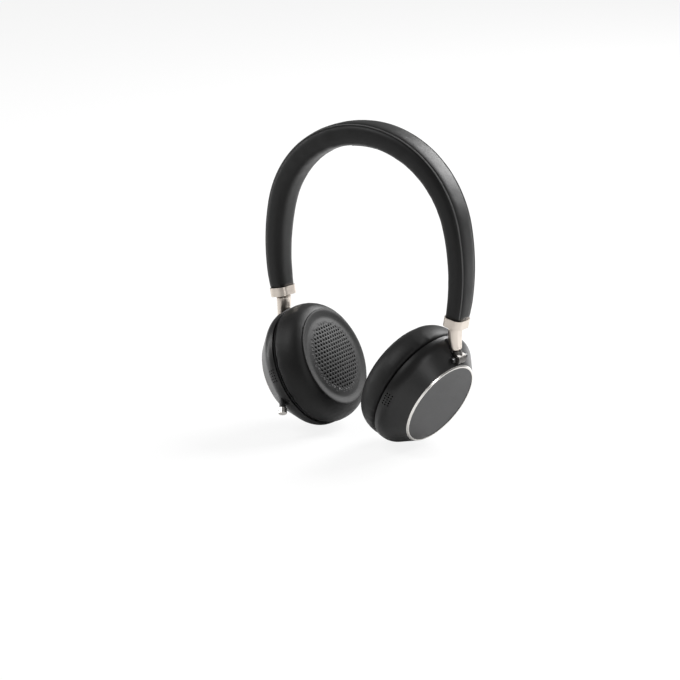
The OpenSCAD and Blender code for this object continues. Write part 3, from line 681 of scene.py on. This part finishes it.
def perforation_tree(cell):
    """Cells in staggered rows inside a circle, on a face that bulges in its middle."""
    tree = bpy.data.node_groups.new("perforated_disc", "GeometryNodeTree")
    tree.interface.new_socket("Geometry", in_out="INPUT", socket_type="NodeSocketGeometry")
    tree.interface.new_socket("Geometry", in_out="OUTPUT", socket_type="NodeSocketGeometry")
    sizes = {}
    for label, value in (("Pitch", HOLE_PITCH * MM), ("Radius", PERFORATED_R * MM),
                         ("Bulge", DOME_RISE * MM)):
        socket = tree.interface.new_socket(label, in_out="INPUT", socket_type="NodeSocketFloat")
        socket.default_value = value
        sizes[label] = socket.identifier
    inputs = tree.nodes.new("NodeGroupInput")
    result = tree.nodes.new("NodeGroupOutput")

    def node(kind, values=(), **settings):
        made = tree.nodes.new(kind)
        for key, value in settings.items():
            setattr(made, key, value)
        for key, value in (values.items() if isinstance(values, dict) else enumerate(values)):
            if isinstance(value, bpy.types.NodeSocket):
                tree.links.new(value, made.inputs[key])
            else:
                made.inputs[key].default_value = value
        return made

    def maths(operation, *values):
        return node("ShaderNodeMath", values, operation=operation).outputs[0]

    pitch = inputs.outputs["Pitch"]
    row = maths("MULTIPLY", pitch, math.sqrt(3) / 2)
    grid = node("GeometryNodeMeshGrid", {
        "Vertices X": GRID_COUNT, "Vertices Y": GRID_COUNT,
        "Size X": maths("MULTIPLY", pitch, GRID_COUNT - 1), "Size Y": maths("MULTIPLY", row, GRID_COUNT - 1)})
    where = node("GeometryNodeInputPosition").outputs[0]
    parts = node("ShaderNodeSeparateXYZ", [where])
    row_number = maths("ROUND", maths("DIVIDE", parts.outputs[1], row))
    shift = maths("MULTIPLY", maths("FLOORED_MODULO", row_number, 2.0), maths("MULTIPLY", pitch, 0.5))
    aside = node("ShaderNodeCombineXYZ", [shift, 0.0, 0.0]).outputs[0]
    staggered = node("GeometryNodeSetPosition", {"Geometry": grid.outputs[0], "Offset": aside})
    far = node("ShaderNodeVectorMath", [where], operation="LENGTH").outputs["Value"]
    inside = node("GeometryNodeDeleteGeometry", {
        "Geometry": staggered.outputs[0], "Selection": maths("GREATER_THAN", far, inputs.outputs["Radius"])})
    info = node("GeometryNodeObjectInfo", {"Object": cell})
    placed = node("GeometryNodeInstanceOnPoints", {
        "Points": inside.outputs[0], "Instance": info.outputs["Geometry"]})
    real = node("GeometryNodeRealizeInstances", {"Geometry": placed.outputs[0]})
    merged = node("GeometryNodeMergeByDistance", {"Geometry": real.outputs[0], "Distance": 0.05 * MM})
    share = maths("DIVIDE", far, HOLE_R * MM)
    lift = maths("MULTIPLY", inputs.outputs["Bulge"], maths("SUBTRACT", 1.0, maths("MULTIPLY", share, share)))
    up = node("ShaderNodeCombineXYZ", [0.0, 0.0, lift]).outputs[0]
    domed = node("GeometryNodeSetPosition", {"Geometry": merged.outputs[0], "Offset": up})
    painted = node("GeometryNodeSetMaterial", {"Geometry": domed.outputs[0], "Material": MESH_BLACK})
    tree.links.new(painted.outputs[0], result.inputs[0])
    return tree, sizes


def perforated_mesh(name, side, tree, sizes):
    """The perforated disc of one cup, and the plain rim that carries it into the cushion."""
    disc = make_piece(name, [(0, 0, 0)], [], MESH_BLACK)
    holes = disc.modifiers.new("perforations", "NODES")
    holes.node_group = tree
    holes[sizes["Bulge"]] = DOME_RISE * MM
    plain_mesh(disc)
    face = Matrix.Translation((0, 0, -DOME_BASE)) @ Matrix.Rotation(math.pi, 4, "X") \
        @ Matrix.Rotation(math.pi / 2, 4, "Z") @ Matrix.Scale(1 / MM, 4)
    place = cup_place(side)
    disc.data.transform(place @ face)
    if side < 0:
        disc.data.flip_normals()
    body = "left_cup" if side > 0 else "right_cup"
    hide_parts(name.replace("perforated_", ""))
    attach(disc, body)
    inner_r = PERFORATED_R - 1.6
    dome = [(r, -DOME_BASE - DOME_RISE * (1 - (r / HOLE_R) ** 2) + 0.03)
            for r in (inner_r, PERFORATED_R, PERFORATED_R + 1.1, PERFORATED_R + 2.2)]
    skirt = [(24.3, -17.2), (25.2, -17.26), (26.2, -17.42), (27.2, -17.64), (28.2, -17.84), (29.2, -17.94)]
    back = [(29.8, -17.7), (25.5, -16.4), (HOLE_R, -16.2), (inner_r, -16.9)]
    rings = [[place @ Vector((r * cos(q), r * sin(q), z)) for r, z in dome + skirt + back]
             for q in range(0, 360, 3)]
    rim = make_piece(name.replace("perforated_mesh", "mesh_rim"), *swept(rings, closed=True), MESH_BLACK)
    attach(rim, body)


# ---------------------------------------------------------------- assembly
studio_camera()
band_skin()
band_piping("front_piping", 360 - PIPING_V)
band_piping("rear_piping", PIPING_V)
stuffed = None
for label, side in SIDES:
    shaped_arm("shaped_" + label + "_arm", side)
    stuffed = cushion("soft_" + label + "_cushion", side, stuffed)
cell = mesh_cell()
disc_tree, disc_sizes = perforation_tree(cell)
for label, side in SIDES:
    perforated_mesh(f"perforated_{label}_mesh", side, disc_tree, disc_sizes)
bpy.data.objects.remove(cell)

# ---------------------------------------------------------------- studio
FLOOR_GLOW = 0.86           # how much of the floor the camera sees as plain white
WORLD_LEVEL = 0.11          # what the world gives every ray
RAY_LEVELS = (("Is Camera Ray", 0.87), ("Is Transmission Ray", 0.87), ("Is Glossy Ray", 0.14))

floor_shade = Shade("pale_floor")
rays = floor_shade.add("ShaderNodeLightPath")
seen = Num(floor_shade, rays.outputs["Is Camera Ray"])
floor_shade.finish(base_color=grey(0.9), roughness=0.7)
glow = floor_shade.add("ShaderNodeEmission", None, {"Color": (1, 1, 1, 1), "Strength": 1.0})
blend = floor_shade.add("ShaderNodeMixShader", None, [seen * FLOOR_GLOW])
floor_shade.tree.links.new(floor_shade.surface.outputs[0], blend.inputs[1])
floor_shade.tree.links.new(glow.outputs[0], blend.inputs[2])
floor_shade.tree.links.new(blend.outputs[0], floor_shade.tree.nodes["Material Output"].inputs[0])
floor_corners = [(x * FLOOR_REACH, y * FLOOR_REACH, FLOOR_Z) for x, y in ((-1, -1), (1, -1), (1, 1), (-1, 1))]
floor = make_piece("studio_floor", floor_corners, [(0, 1, 2, 3)], floor_shade.material, smooth=False)

world = bpy.data.worlds.new("studio_world")
scene.world = world
world.use_nodes = True
sky = world.node_tree
paths = sky.nodes.new("ShaderNodeLightPath")
strength = None
for ray, level in RAY_LEVELS:
    part = sky.nodes.new("ShaderNodeMath")
    part.operation = "MULTIPLY_ADD"
    sky.links.new(paths.outputs[ray], part.inputs[0])
    part.inputs[1].default_value = level
    if strength is None:
        part.inputs[2].default_value = WORLD_LEVEL
    else:
        sky.links.new(strength, part.inputs[2])
    strength = part.outputs[0]
sky.links.new(strength, sky.nodes["Background"].inputs["Strength"])
sky.nodes["Background"].inputs["Color"].default_value = (1, 1, 1, 1)

middle = (0, 0, -0.09)
soft_lamp("key_lamp", (-0.65, -0.75, 1.15), middle, (0.3, 0.7), 12)
soft_lamp("rim_lamp", (0.34, 1.2, 0.75), middle, (1.0, 0.9), 46)
soft_lamp("side_lamp", (1.25, -0.25, 0.35), middle, (0.2, 1.0), 4)
soft_lamp("left_lamp", (-1.2, -0.35, 0.1), middle, (0.2, 1.0), 6)

scene.view_settings.view_transform = "Standard"
